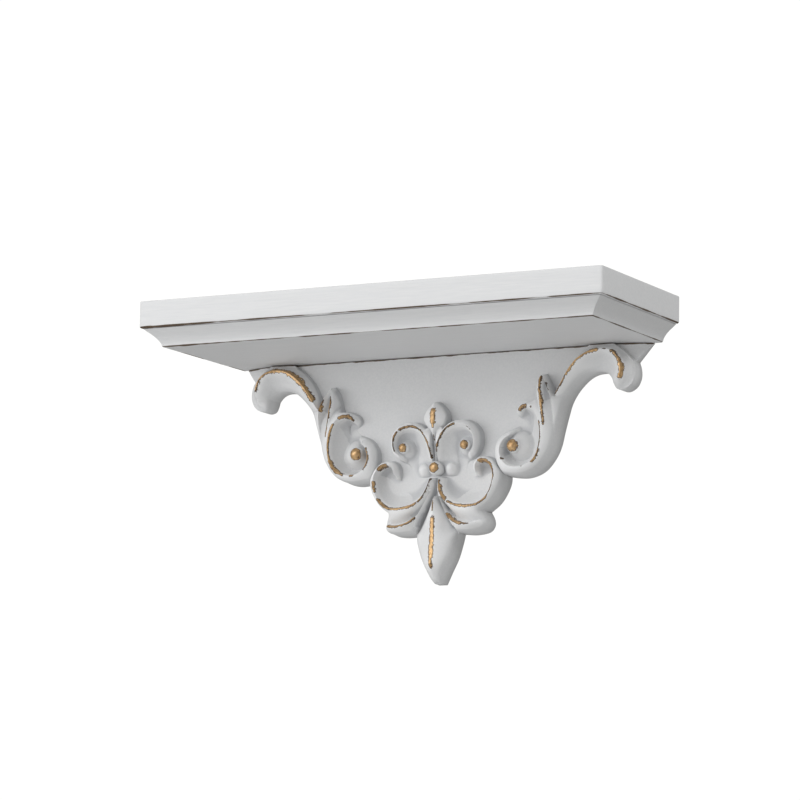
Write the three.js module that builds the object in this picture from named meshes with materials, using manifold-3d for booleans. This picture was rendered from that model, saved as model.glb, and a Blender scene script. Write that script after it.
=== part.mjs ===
// A small wall shelf: a thick top board on a cove-moulded under board, carried by one carved
// bracket of scrolls around a central fleur and spear. The back lies flat on the wall and
// hangs on two keyhole plates let into the bracket panel.
//
// Millimetres, +Z up, +X to the right of a person facing the shelf, +Y into the wall.
// The origin is on the wall plane, midway between the two hanging points.
// Carvings are drawn as [x, drop] points for the right-hand side: x from the centre line,
// drop below the top of the bracket. Depths are measured forward from the wall.

import * as THREE from 'three';
import { mergeVertices } from 'three/addons/utils/BufferGeometryUtils.js';
import Module from 'manifold-3d';

const wasm = await Module();
wasm.setup();

// ---------------------------------------------------------------- driving dimensions

const shelf = { width: 360.7, depth: 127, height: 195.6 };
const gap = 0.3; // between neighbouring pieces
const board = { thickness: 19.8, arris: 1.5 };
const cove = { thickness: 12.2, topInset: 2.2, throatInset: 12.3, bottomInset: 13.7, lip: 1.8 };
const panel = { thickness: 9.5, cornerReach: 25, cornerPower: 1.6, underArm: 32 };
const bracketTop = 27.7; // height of the bracket's top edge above the hanging points
const hanger = { x: 70, width: 16, height: 40, thickness: 1.6, sunk: 0.3, below: 22 };
const keyhole = { entryRadius: 4.75, slotRadius: 2.5, travel: 8 };
const headPocket = { width: 12, depth: 7.3, above: 5.5, below: 14 };

const bracketHeight = shelf.height - board.thickness - cove.thickness - gap;
const coveTop = bracketTop + gap + cove.thickness;
const boardBottom = coveTop + gap;
const carvingBack = panel.thickness + gap;
const groundDepth = 15; // front of a carving between its rims
const crestDepth = 20.8; // front of its rims
const sides = { left: -1, right: 1 };
const bothSides = Object.values(sides);

const paint = { color: 0xd6d6d4, roughness: 0.55, metalness: 0 };
const carvedPaint = { color: 0xcfd0d0, roughness: 0.5, metalness: 0 };
const beech = { color: 0xc9a878, roughness: 0.8, metalness: 0 };
const zinc = { color: 0xb4b6ba, roughness: 0.35, metalness: 1 };
const brassPlate = { color: 0xb08d4a, roughness: 0.4, metalness: 1 };

// ---------------------------------------------------------------- solids and meshes

function solidOf(geometry) {
  const bare = geometry.clone();
  bare.deleteAttribute('normal');
  bare.deleteAttribute('uv');
  const merged = mergeVertices(bare, 1e-4);
  return new wasm.Manifold(new wasm.Mesh({
    numProp: 3,
    vertProperties: Float32Array.from(merged.attributes.position.array),
    triVerts: Uint32Array.from(merged.index.array),
  }));
}

function meshOf(name, solid, finish) {
  const { numProp, vertProperties, triVerts } = solid.getMesh();
  const positions = [];
  for (let i = 0; i < vertProperties.length; i += numProp) {
    positions.push(vertProperties[i], vertProperties[i + 1], vertProperties[i + 2]);
  }
  const geometry = new THREE.BufferGeometry();
  geometry.setAttribute('position', new THREE.Float32BufferAttribute(positions, 3));
  geometry.setIndex(Array.from(triVerts));
  geometry.computeVertexNormals();
  const mesh = new THREE.Mesh(geometry, new THREE.MeshStandardMaterial(finish));
  mesh.name = name;
  return mesh;
}

function box([x0, x1], [y0, y1], [z0, z1]) {
  const geometry = new THREE.BoxGeometry(x1 - x0, y1 - y0, z1 - z0);
  geometry.translate((x0 + x1) / 2, (y0 + y1) / 2, (z0 + z1) / 2);
  return solidOf(geometry);
}

function union(solids) {
  return solids.reduce((whole, solid) => whole.add(solid));
}

// Shapes drawn in the wall plane (x, height) and carried forward from one depth to another.
function forward(shape, from, to, curveSegments = 2) {
  const settings = { depth: to - from, curveSegments, bevelEnabled: false };
  const geometry = new THREE.ExtrudeGeometry(shape, settings);
  geometry.translate(0, 0, from);
  geometry.rotateX(Math.PI / 2);
  return solidOf(geometry);
}

// Shapes drawn from the side as (y, height) and swept from end to end across the shelf.
function across(shape) {
  const { width } = shelf;
  const geometry = new THREE.ExtrudeGeometry(shape, { depth: width, bevelEnabled: false });
  geometry.translate(0, 0, -width / 2);
  const [x, y, z] = [0, 1, 2].map((axis) => new THREE.Vector3().setComponent(axis, 1));
  geometry.applyMatrix4(new THREE.Matrix4().makeBasis(y, z, x));
  return solidOf(geometry);
}

// Shapes drawn from above as (x, y) and raised from one height to another.
function upward(shape, from, to) {
  const geometry = new THREE.ExtrudeGeometry(shape, { depth: to - from, bevelEnabled: false });
  geometry.translate(0, 0, from);
  return solidOf(geometry);
}

function ball({ at: [x, drop], radius, frontDepth }, side) {
  const geometry = new THREE.SphereGeometry(radius, 12, 8);
  geometry.translate(side * x, radius - frontDepth, bracketTop - drop);
  return solidOf(geometry);
}

function aheadOf(depth) {
  const { width, height } = shelf;
  return box([-width, width], [-shelf.depth, -depth], [-height, height]);
}

// ---------------------------------------------------------------- drawing outlines

const place = ([x, drop], side) => new THREE.Vector2(side * x, bracketTop - drop);

// An outline is a start point and runs: a run of one point is a straight line to it, and a
// longer run is one smooth curve through its points.
function addRun(path, run, side) {
  const points = run.map((point) => place(point, side));
  if (points.length === 1) path.lineTo(points[0].x, points[0].y);
  else path.splineThru(points);
}

function outline({ start, runs }, side) {
  const shape = new THREE.Shape();
  const first = place(start, side);
  shape.moveTo(first.x, first.y);
  runs.forEach((run) => addRun(shape, run, side));
  return shape;
}

// The right-hand runs, then the same runs back up the left-hand side.
function symmetricOutline({ start, runs }) {
  const shape = outline({ start, runs }, 1);
  const corners = [start, ...runs.map((run) => run.at(-1))];
  const bottom = place(corners.at(-1), -1);
  shape.lineTo(bottom.x, bottom.y);
  for (let i = runs.length - 1; i >= 0; i -= 1) {
    const back = [...runs[i].slice(0, -1).reverse(), corners[i]];
    addRun(shape, back, -1);
  }
  return shape;
}

const shifted = (points, dx, drop) => points.map(([x, y]) => [x + dx, y + drop]);

// ---------------------------------------------------------------- bracket outlines

const tip = [2.4, bracketHeight];
const armEnd = [
  [152.6, 18], [152.7, 23.5], [150.6, 28.8], [147, 32], [143, 33.2], [139, 32], [137, 28.5],
  [136, 25],
];
const armUnderside = [
  [133, 21.7], [129, 19.7], [124, 19.3], [118, 20.5], [112, 24], [105, 31], [100, 39],
  [97, 48], [94, 58.5], [91.5, 68], [88, 75.5], [82, 83], [76, 87], [68, 89.2], [60, 89],
];
const scrollFoot = [52.6, 87.8];
const cScrollBack = [[52.2, 93], [49.4, 99.6], [44.4, 106.6], [36.4, 112.8]];
const leafEdge = [
  [39.2, 118], [39.8, 122], [37.6, 125.6], [33, 127.2], [25.4, 127.8], [16.5, 127],
];
const spearSide = [[14.8, 134], [11.4, 144.6], [6.4, 154.6], tip];
const cScrollInside = [[0.5, 92], [1.5, 99], [5, 106.5], [9, 113.5], [13, 121], [16.5, 127]];

const panelOutline = {
  start: [160, 0],
  runs: [[[151.2, 13]], armEnd, [...armUnderside, scrollFoot], cScrollBack, leafEdge, spearSide],
};

const scrollOutline = {
  start: [118, gap],
  runs: [
    [[136, gap]],
    [[142, 4], [147.5, 8.8], [151.2, 13]],
    armEnd,
    [...armUnderside, scrollFoot],
    [[50.2, 83.6], [48.2, 78], [47.9, 72.5], [49.2, 66.5], [52.8, 61], [58.5, 57.6]],
    [[65, 58], [70.5, 62], [73, 68], [74.2, 74]],
    [[78, 72.5], [80.4, 66], [80.6, 57], [78.3, 49], [73.5, 44.6]],
    [[69.3, 47], [65.3, 48.6], [61.8, 45.3], [63.2, 41.2], [68, 38.4], [77.4, 37]],
    [[78.8, 30], [81.3, 23], [83.3, 18.6]],
    [[88, 25.5], [93.5, 34]],
    [[94.5, 28], [97.3, 20], [102.5, 11.5], [110, 5], [118, gap]],
  ],
};

const cScrollOutline = {
  start: [1, 86],
  runs: [
    cScrollInside,
    [[25.4, 127.8], [33, 127.2], [37.6, 125.6], [39.8, 122], [39.2, 118], [36.4, 112.8]],
    [[44.4, 106.6], [49.4, 99.6], [52.2, 93], [52, 88.6]],
    [[49.4, 84.3], [46.4, 79.5], [42.5, 75.8], [37.5, 74.2], [33, 75.5], [30, 79]],
    [[28.9, 83.5], [31.2, 87.3], [35.6, 87.8], [39, 85]],
    [[43, 86.5], [44, 91.5], [41.8, 98], [36.5, 103], [29, 105.5], [20, 105], [13, 101],
      [9, 95], [6.8, 86.5]],
    [[1, 86]],
  ],
};

// Half-width of the bud against drop, from its tip to the foot of its stem.
const bud = {
  widest: 8.3,
  frontDepth: crestDepth + 0.9,
  profile: [
    [0, 33.5], [3.6, 36.5], [6.8, 41], [8.3, 46], [7.4, 51], [5, 57], [3, 64], [2, 72], [1.6, 79],
  ],
};

const waist = { start: [0, 78], runs: [[[10, 79.5]], [[10, 84]], [[2, 85.4]]], height: 3 };

const voluteOutline = {
  start: [1.2, 78],
  runs: [
    [[2, 68], [5, 58.5], [10.5, 51.8], [17.5, 48.8], [25, 49.6], [31, 53.4], [34, 59.5],
      [34, 66.5], [31.3, 72], [26.5, 75], [21, 74.6], [17.2, 71], [15.8, 65.5], [18, 60]],
    [[13.8, 60.2], [9.6, 66], [6.8, 72.5], [5, 79]],
    [[1.2, 78]],
  ],
};

const armCrest = [
  [95.5, 34], [99.5, 27], [104, 20], [108.5, 14.5], [113.5, 10], [121, 6], [130, 4.5], [138, 6],
  [143, 9.5], [146.5, 15], [147.6, 22], [143.6, 29],
];
const scrollCrest = [
  [66, 44.5], [70, 41.3], [75, 41.6], [79.5, 44.8], [82.5, 50.5], [84, 57.5], [84.3, 64],
  [83.5, 70], [81.5, 76], [77.8, 80.5], [72.5, 83.3], [66, 84.3], [60, 83.2], [55.8, 80],
  [53.3, 75], [53, 71], [54.5, 67],
];
const upperLeafCrest = [[83.6, 24], [84.4, 32], [85.6, 42], [87.2, 52], [88, 60]];
const cScrollCrest = [
  [4, 90], [5.2, 97], [9, 103.2], [14, 107], [20.5, 109.2], [28, 110], [35, 109], [41, 105.3],
  [45, 99.5], [47.3, 92.5], [47.2, 86.5], [44.8, 81.5], [41, 78.5], [37, 78], [34, 80.5],
];
const lowerLeafCrest = [[14.6, 117.6], [18.5, 120.2], [23.5, 122], [30, 122.7], [35, 121.5]];
const voluteCrest = [
  [2.6, 75], [2.9, 68.5], [5.4, 61], [9.3, 55.2], [14.5, 52], [20.5, 51.5], [26.5, 53.3],
  [30.8, 57.5], [32, 63], [31, 68.5], [28, 71.7],
];

// Balls that sit in the eyes of the scrolls and across the waist, with their front depths.
const scrollBall = { at: [62.3, 68.8], radius: 5.2, frontDepth: crestDepth + 0.9 };
const voluteBall = { at: [24.4, 66.3], radius: 4, frontDepth: crestDepth + 0.5 };
const sidePearl = { at: [9.4, 81.9], radius: 3.5, frontDepth: groundDepth + 0.5 };
const middlePearl = { at: [0, 81.6], radius: 3.9, frontDepth: crestDepth - 1 };

const spearOutline = {
  start: [0, 99.5],
  runs: [shifted(cScrollInside.slice(2), -0.8, 0.6), spearSide],
};
const spearRidge = [[14, 99], [20, 106], [19.4, 128], [22.4, 150], [11, bracketHeight]];
const spearSection = { halfWidth: 18, edgeDepth: 12, quarterDepth: 20, ridgeDepth: 22.4 };

// ---------------------------------------------------------------- boards

function topBoard() {
  const { width, depth } = shelf;
  const { arris } = board;
  const plan = new THREE.Shape([
    new THREE.Vector2(-width / 2, 0),
    new THREE.Vector2(-width / 2, -depth),
    new THREE.Vector2(width / 2, -depth),
    new THREE.Vector2(width / 2, 0),
  ]);
  const geometry = new THREE.ExtrudeGeometry(plan, {
    depth: board.thickness - gap - 2 * arris,
    bevelThickness: arris,
    bevelSize: arris,
    bevelOffset: -arris,
    bevelSegments: 2,
  });
  geometry.translate(0, 0, boardBottom + arris);
  return solidOf(geometry).subtract(union(slabDowels(gap)));
}

// The moulded edge from top to bottom, as [inset from the top board's edge, drop].
function mouldedEdge() {
  const { thickness, topInset, throatInset, bottomInset, lip } = cove;
  const edge = new THREE.Path();
  edge.moveTo(topInset, 0);
  edge.quadraticCurveTo(throatInset - 2, 3, throatInset, thickness - 2 * lip);
  edge.lineTo(throatInset, thickness - lip);
  edge.quadraticCurveTo(throatInset, thickness, bottomInset + 1, thickness);
  return edge.getPoints(6);
}

// A section through the cove board: moulded at its low edge, moulded or square at its high one.
function coveSection(low, high, highEdge) {
  const at = (x, drop) => new THREE.Vector2(x, coveTop - drop);
  const lowSide = mouldedEdge().map((p) => at(low + p.x, p.y));
  const highSide = highEdge.map((p) => at(high - p.x, p.y));
  return new THREE.Shape([...lowSide, ...highSide.reverse()]);
}

function coveBoard() {
  const { width, depth } = shelf;
  const squareEdge = [new THREE.Vector2(0, 0), new THREE.Vector2(0, cove.thickness)];
  const ends = forward(coveSection(-width / 2, width / 2, mouldedEdge()), 0, depth);
  const front = across(coveSection(-depth, 0, squareEdge));
  const holes = union([...slabDowels(gap), ...bracketDowels(gap), ...bracketScrews(gap)]);
  return ends.intersect(front).subtract(holes);
}

// ---------------------------------------------------------------- fasteners

const woodScrew = { length: 36, headRadius: 3.4, shankRadius: 1.7, headDrop: 2.6 };
const plateScrew = { length: 6.6, headRadius: 2.8, shankRadius: 1.3, headDrop: 1.6, fromEnd: 5 };
const slabDowel = { radius: 4, length: 19, x: 140, depths: [25, 95] };
const bracketDowel = { radius: 3, length: 20, x: 105 };
const screwRow = { spacing: 40, sunk: 0.2 };
const dowelInCove = 9;
const holeMouth = 1; // how far a countersunk hole is cut beyond the face it opens on
const bracketAxisDepth = panel.thickness / 2;

// A countersunk screw hanging down from its head; `clearance` grows it into its own hole.
function screw({ length, headRadius, shankRadius, headDrop }, clearance = 0) {
  const shank = shankRadius + clearance;
  const head = headRadius + clearance;
  const point = -length - clearance;
  const profile = [[0, point], [shank, point + 2 * shankRadius], [shank, -headDrop], [head, 0]];
  if (clearance) profile.push([head, holeMouth]);
  const top = clearance ? holeMouth : 0;
  profile.push([0, top]);
  return new THREE.LatheGeometry(profile.map(([r, y]) => new THREE.Vector2(r, y)), 12);
}

function standing(geometry, x, depth, height) {
  geometry.rotateX(Math.PI / 2);
  geometry.translate(x, -depth, height);
  return solidOf(geometry);
}

function dowel({ radius, length }, clearance, x, depth, bottom) {
  const tall = length + 2 * clearance;
  const geometry = new THREE.CylinderGeometry(radius + clearance, radius + clearance, tall, 16);
  return standing(geometry, x, depth, bottom + length / 2);
}

function slabDowels(clearance = 0) {
  const bottom = coveTop - dowelInCove;
  return bothSides.flatMap((side) => slabDowel.depths.map((depth) => (
    dowel(slabDowel, clearance, side * slabDowel.x, depth, bottom))));
}

function bracketDowels(clearance = 0) {
  const bottom = bracketTop + dowelInCove - bracketDowel.length;
  return bothSides.map((side) => (
    dowel(bracketDowel, clearance, side * bracketDowel.x, bracketAxisDepth, bottom)));
}

function bracketScrews(clearance = 0) {
  return [-1, 0, 1].map((step) => standing(
    screw(woodScrew, clearance), step * screwRow.spacing, bracketAxisDepth,
    coveTop - screwRow.sunk));
}

// Upper then lower screw of one keyhole plate, driven forward into the panel.
function plateScrews(side, clearance = 0) {
  const middle = hanger.height / 2 - hanger.below;
  const reach = hanger.height / 2 - plateScrew.fromEnd;
  return [reach, -reach].map((offset) => {
    const geometry = screw(plateScrew, clearance);
    geometry.translate(side * hanger.x, -hanger.sunk, middle + offset);
    return solidOf(geometry);
  });
}

// ---------------------------------------------------------------- keyhole plates

function plateShape(side, clearance = 0) {
  const radius = hanger.width / 2 + clearance;
  const x = side * hanger.x;
  const low = -hanger.below + hanger.width / 2;
  const high = hanger.height - hanger.below - hanger.width / 2;
  const shape = new THREE.Shape();
  shape.absarc(x, high, radius, 0, Math.PI);
  shape.absarc(x, low, radius, Math.PI, 2 * Math.PI);
  return shape;
}

// A round entry below a narrow slot that ends at the hanging point.
function keyholeShape(side) {
  const { entryRadius, slotRadius, travel } = keyhole;
  const x = side * hanger.x;
  const shoulder = Math.acos(slotRadius / entryRadius);
  const shape = new THREE.Shape();
  shape.absarc(x, 0, slotRadius, 0, Math.PI);
  shape.absarc(x, -travel, entryRadius, Math.PI - shoulder, 2 * Math.PI + shoulder);
  return shape;
}

function hangerPlate(side) {
  const from = hanger.sunk;
  const to = hanger.sunk + hanger.thickness;
  const plate = forward(plateShape(side), from, to, 5);
  const cutter = forward(keyholeShape(side), 0, to + 1, 5);
  return plate.subtract(cutter).subtract(union(plateScrews(side, gap / 2)));
}

function hangerPocket(side) {
  const recess = forward(plateShape(side, gap), -1, hanger.sunk + hanger.thickness + gap, 5);
  const x = side * hanger.x;
  const half = headPocket.width / 2;
  const { depth, above, below } = headPocket;
  const room = box([x - half, x + half], [-depth, 1], [-below, above]);
  return recess.add(room).add(union(plateScrews(side, gap)));
}

// ---------------------------------------------------------------- bracket pieces

// The panel seen from above: full thickness in the middle, its ends rounded back to the wall.
function panelPlan() {
  const end = panelOutline.start[0] + 1;
  const bend = end - panel.cornerReach;
  const steps = 8;
  const round = Array.from({ length: steps + 1 }, (_, i) => {
    const t = i / steps;
    const depth = panel.thickness * (1 - t ** panel.cornerPower) ** (1 / panel.cornerPower);
    return new THREE.Vector2(bend + t * panel.cornerReach, -depth);
  });
  const left = round.map((p) => new THREE.Vector2(-p.x, p.y));
  return new THREE.Shape([...left.reverse(), ...round]);
}

// The stretch of an arm that stands over the rounded end and needs the full panel behind it.
function armRegion(side) {
  const [end] = panelOutline.start;
  const span = [side * (end - panel.underArm), side * end].sort((a, b) => a - b);
  return box(span, [-panel.thickness - 1, 1], [-bracketTop, bracketTop]);
}

function bracketPanel() {
  const whole = forward(symmetricOutline(panelOutline), 0, panel.thickness);
  const rounded = whole.intersect(upward(panelPlan(), -shelf.height, bracketTop));
  const underArms = bothSides.map((side) => (
    forward(outline(scrollOutline, side), 0, panel.thickness).intersect(armRegion(side))));
  const pockets = bothSides.map((side) => hangerPocket(side));
  return union([rounded, ...underArms])
    .subtract(union([...pockets, ...bracketDowels(gap), ...bracketScrews(gap)]));
}

// A raised rim with a round crest, following a smooth line over the carving's ground.
function rim(line, side, width, frontDepth) {
  const height = frontDepth - groundDepth;
  const root = groundDepth - carvingBack - 1;
  const section = new THREE.Shape();
  section.moveTo(-root, -width / 2);
  section.absellipse(0, 0, height, width / 2, -Math.PI / 2, Math.PI / 2);
  section.lineTo(-root, width / 2);
  const path = new THREE.CatmullRomCurve3(line.map((point) => {
    const { x, y } = place(point, side);
    return new THREE.Vector3(x, -groundDepth, y);
  }));
  const steps = line.length * 2;
  const settings = { extrudePath: path, steps, curveSegments: 2, bevelEnabled: false };
  return solidOf(new THREE.ExtrudeGeometry(section, settings));
}

function scrollCarving(side) {
  return union([
    forward(outline(scrollOutline, side), carvingBack, groundDepth),
    rim(armCrest, side, 6, crestDepth),
    rim(scrollCrest, side, 5, crestDepth),
    rim(upperLeafCrest, side, 5, crestDepth - 2.5),
    ball(scrollBall, side),
  ]);
}

function cScrollCarving(side) {
  return union([
    forward(outline(cScrollOutline, side), carvingBack, groundDepth),
    rim(cScrollCrest, side, 4.4, crestDepth),
    rim(lowerLeafCrest, side, 5, crestDepth - 1),
  ]);
}

// A bud turned about its stem and stretched forward.
function stemmedBud() {
  const half = new THREE.SplineCurve(bud.profile.map(([r, drop]) => new THREE.Vector2(r, -drop)));
  const edge = half.getPoints(12).map((p) => new THREE.Vector2(Math.max(p.x, 0), p.y));
  const foot = new THREE.Vector2(0, edge.at(-1).y);
  const geometry = new THREE.LatheGeometry([foot, ...edge.reverse()], 12);
  geometry.rotateX(Math.PI / 2);
  geometry.scale(1, (bud.frontDepth - carvingBack) / bud.widest, 1);
  geometry.translate(0, -carvingBack, bracketTop);
  return solidOf(geometry);
}

// Bud, two volutes with their balls, and a string of three pearls across the waist.
function centreFleur() {
  const volutes = bothSides.flatMap((side) => [
    forward(outline(voluteOutline, side), carvingBack, groundDepth),
    rim(voluteCrest, side, 4, crestDepth),
    ball(voluteBall, side),
    ball(sidePearl, side),
  ]);
  const band = forward(symmetricOutline(waist), carvingBack, carvingBack + waist.height);
  return union([stemmedBud(), ...volutes, band, ball(middlePearl, 1)])
    .intersect(aheadOf(carvingBack));
}

// A ridged blade: its outline, its gable section and the run of its ridge, intersected.
function spearDrop() {
  const { halfWidth, edgeDepth, quarterDepth, ridgeDepth } = spearSection;
  const body = forward(symmetricOutline(spearOutline), carvingBack, shelf.depth);
  const gable = new THREE.Shape();
  gable.moveTo(-halfWidth, 0);
  gable.lineTo(-halfWidth, -edgeDepth);
  gable.quadraticCurveTo(-halfWidth / 2, -quarterDepth, 0, -ridgeDepth);
  gable.quadraticCurveTo(halfWidth / 2, -quarterDepth, halfWidth, -edgeDepth);
  gable.lineTo(halfWidth, 0);
  const along = new THREE.Shape();
  along.moveTo(0, bracketTop - spearRidge[0][1]);
  spearRidge.forEach(([depth, drop]) => along.lineTo(-depth, bracketTop - drop));
  along.lineTo(0, bracketTop - bracketHeight);
  return body.intersect(upward(gable, -shelf.height, bracketTop)).intersect(across(along));
}

// ---------------------------------------------------------------- the shelf

const wallShelf = new THREE.Group();
const add = (name, solid, finish) => wallShelf.add(meshOf(name, solid, finish));

add('top_board', topBoard(), paint);
add('cove_board', coveBoard(), paint);
add('bracket_panel', bracketPanel(), carvedPaint);
add('centre_fleur', centreFleur(), carvedPaint);
add('spear_drop', spearDrop(), carvedPaint);

Object.entries(sides).forEach(([name, side], i) => {
  add(`${name}_scroll_carving`, scrollCarving(side), carvedPaint);
  add(`${name}_c_scroll_carving`, cScrollCarving(side), carvedPaint);
  add(`${name}_keyhole_plate`, hangerPlate(side), brassPlate);
  const [upper, lower] = plateScrews(side);
  add(`${name}_plate_screw_upper`, upper, zinc);
  add(`${name}_plate_screw_lower`, lower, zinc);
  add(`${name}_bracket_dowel`, bracketDowels()[i], beech);
  add(`${name}_board_dowel_rear`, slabDowels()[2 * i], beech);
  add(`${name}_board_dowel_front`, slabDowels()[2 * i + 1], beech);
});

['left', 'middle', 'right'].forEach((name, i) => {
  add(`${name}_bracket_screw`, bracketScrews()[i], zinc);
});

export default wallShelf;
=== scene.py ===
"""A small wall shelf with one carved, painted and rubbed bracket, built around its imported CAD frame.

Everything is placed from the CAD nodes' boxes. Drawings are in millimetres: x from the centre
line and drop below the top of the bracket, with depths measured forward from the wall.
"""
import math

import bmesh
import bpy
import numpy as np
from mathutils import Matrix, Vector
from mathutils.geometry import delaunay_2d_cdt


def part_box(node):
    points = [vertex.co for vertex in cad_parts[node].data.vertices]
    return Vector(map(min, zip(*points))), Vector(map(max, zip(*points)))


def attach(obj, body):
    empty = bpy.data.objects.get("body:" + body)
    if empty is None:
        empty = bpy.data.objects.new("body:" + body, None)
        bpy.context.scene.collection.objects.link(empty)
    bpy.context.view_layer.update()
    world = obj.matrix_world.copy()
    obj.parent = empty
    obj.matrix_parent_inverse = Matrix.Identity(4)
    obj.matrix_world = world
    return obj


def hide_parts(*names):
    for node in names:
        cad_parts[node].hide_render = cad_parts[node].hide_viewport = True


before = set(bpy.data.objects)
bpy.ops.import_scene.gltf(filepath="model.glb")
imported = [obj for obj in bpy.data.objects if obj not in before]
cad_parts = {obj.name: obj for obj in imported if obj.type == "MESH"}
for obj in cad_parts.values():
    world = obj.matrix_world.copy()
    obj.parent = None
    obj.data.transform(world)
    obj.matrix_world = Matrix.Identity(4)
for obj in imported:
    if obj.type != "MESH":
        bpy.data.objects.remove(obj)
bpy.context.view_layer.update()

MM = 0.001
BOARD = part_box("top_board")
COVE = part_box("cove_board")
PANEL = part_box("bracket_panel")
PANEL_DEPTH = -PANEL[0][1] / MM
WING_END = PANEL[1][0] / MM + 2.5  # its feathered tip runs a little past the CAD's square one
BRACKET_TOP = PANEL[1][2] / MM
BRACKET_HEIGHT = (PANEL[1][2] - PANEL[0][2]) / MM
BACK = PANEL_DEPTH - 0.3  # carvings start just behind the panel's face
INNER = PANEL_DEPTH - 0.15  # where a carving runs out just below the panel's face
# How a carving comes down at a run of its outline: (depth it ends at, how full its shoulder is).
FREE = (12.3, 2)
RAISED = (INNER, 2.6)
FLANK = (INNER, 1.7)
RUNOUT = (INNER, 1.5)
UNDER_BOARD = (14, 2)
HEAD_SPACE_RADIUS = 6  # the hollow behind each keyhole, for the head of the wall screw
HEAD_SPACE_DEPTH = 7.3
HEAD_SPACE_TOP = 10.5  # its end circles' centres, in from those of the plate's slot
HEAD_SPACE_BOTTOM = 6
CREST_SLOPE = 0.12  # share of a swelling side's fall that starts right at the crest
HOLLOW_POWER = 1.9  # how quickly a hollow drops away from its crest
FLOOR_REACH = 2.2  # how far a hollow's floor carries, in reaches of the hollow
CONE_POWER = 1.7  # how round the mound under a ball is (1 is a straight cone)
BUTTON_POWER = 1.3  # how softly a plain boss runs out at its foot
FLARE = 0.9  # how far the panel's sides spread towards the wall, low on the bracket
FLARE_DROPS = (20, 105)  # where the spread starts and where it is full
SEAM_HEIGHT = 1.4  # about how far below the bracket's top edge the dark band is gone
SIDES = {"left": -1, "right": 1}

# ---------------------------------------------------------------- lines and distances


def smooth_line(knots, step=0.6):
    """A Catmull-Rom curve through rows [x, drop, ...]; each row it returns ends with its knot."""
    knots = np.asarray(knots, float)
    padded = np.vstack([2 * knots[0] - knots[1], knots, 2 * knots[-1] - knots[-2]])
    rows = []
    for i in range(len(knots) - 1):
        before, start, end, after = padded[i:i + 4]
        count = max(2, int(math.dist(start[:2], end[:2]) / step))
        t = np.linspace(0, 1, count, endpoint=False)[:, None]
        curve = 0.5 * (2 * start + (end - before) * t
                       + (2 * before - 5 * start + 4 * end - after) * t ** 2
                       + (3 * start - before - 3 * end + after) * t ** 3)
        rows.append(np.hstack([curve, i + t]))
    return np.vstack(rows + [np.append(knots[-1], len(knots) - 1)])


def straight_line(start, end, step=0.6):
    count = max(1, int(math.dist(start, end) / step))
    t = np.linspace(0, 1, count + 1)[:, None]
    return np.asarray(start) * (1 - t) + np.asarray(end) * t


def outline(start, runs):
    """A closed outline: a run of one point is straight, and a longer one is a smooth curve.

    Each run is (how the carving comes down there, points), and the rows returned hold both.
    """
    rows = []
    for ending, run in runs:
        if len(run) == 1:
            line = straight_line(start, run[0])
        else:
            line = smooth_line([start, *run])[:, :2]
        rows.append(np.column_stack([line[:-1], np.tile(ending, (len(line) - 1, 1))]))
        start = run[-1]
    return np.vstack(rows)


def both_halves(rows):
    """A right-hand outline that starts and ends on the centre line, with its mirror image."""
    mirror = rows * np.where(np.arange(rows.shape[1]) == 0, -1, 1)
    return np.vstack([rows, mirror[:0:-1]])


def nearest(points, line):
    """Each point's distance to an open line, which side it is on (-1 to 1) and where along it."""
    start, along = line[:-1, :2], np.diff(line[:, :2], axis=0)
    length = np.hypot(along[:, 0], along[:, 1])
    gap = np.full(len(points), np.inf)
    side, where = np.zeros(len(points)), np.zeros(len(points))
    for i in range(len(start)):
        rel = points - start[i]
        t = np.clip(rel @ along[i] / length[i] ** 2, 0, 1)
        away = rel - t[:, None] * along[i]
        d = np.hypot(away[:, 0], away[:, 1])
        closer = d < gap
        cross = along[i][0] * rel[:, 1] - along[i][1] * rel[:, 0]
        gap[closer] = d[closer]
        where[closer] = i + t[closer]
        side[closer] = (cross / length[i] / np.maximum(d, 1e-6))[closer]
    return gap, np.clip(side, -1, 1), where


def inside(points, closed):
    x, y = points[:, 0], points[:, 1]
    hit = np.zeros(len(points), bool)
    closed = np.asarray(closed)[:, :2]
    for (x0, y0), (x1, y1) in zip(closed, np.roll(closed, -1, axis=0)):
        if y0 != y1:
            hit ^= ((y0 > y) != (y1 > y)) & (x < (x1 - x0) * (y - y0) / (y1 - y0) + x0)
    return hit


def ease(value, low, high):
    t = np.clip((value - low) / (high - low), 0, 1)
    return t * t * (3 - 2 * t)


def seam(drop):
    """How dark a thin band along the bracket's top edge, under the boards, is painted; it fades out
    just below that edge.
    """
    return np.clip(1.1 - drop / SEAM_HEIGHT, 0, 1)


def blended_max(a, b, radius=0.5):
    """The larger of two surfaces, with a small fillet where they cross."""
    h = np.clip(0.5 + 0.5 * (a - b) / radius, 0, 1)
    return b + (a - b) * h + radius * h * (1 - h)


# ---------------------------------------------------------------- meshes


def add_mesh(name, corners, faces, sharp_angle=38, **attributes):
    """A smooth-shaded mesh from rows of [x, y, z] in millimetres, kept crisp at sharp edges."""
    mesh = bpy.data.meshes.new(name)
    mesh.from_pydata((np.asarray(corners) * MM).tolist(), [], faces)
    mesh.validate()
    for key, values in attributes.items():
        store = mesh.attributes.new(key, "FLOAT", "POINT")
        store.data.foreach_set("value", np.asarray(values, np.float32))
    mesh.polygons.foreach_set("use_smooth", [True] * len(mesh.polygons))
    mesh.set_sharp_from_angle(angle=math.radians(sharp_angle))
    thing = bpy.data.objects.new(name, mesh)
    bpy.context.scene.collection.objects.link(thing)
    return thing


def finish_piece(thing, material, slot, *nodes):
    thing.data.materials.append(material)
    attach(thing, "root")
    if nodes:
        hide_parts(*nodes)
    return thing


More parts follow.
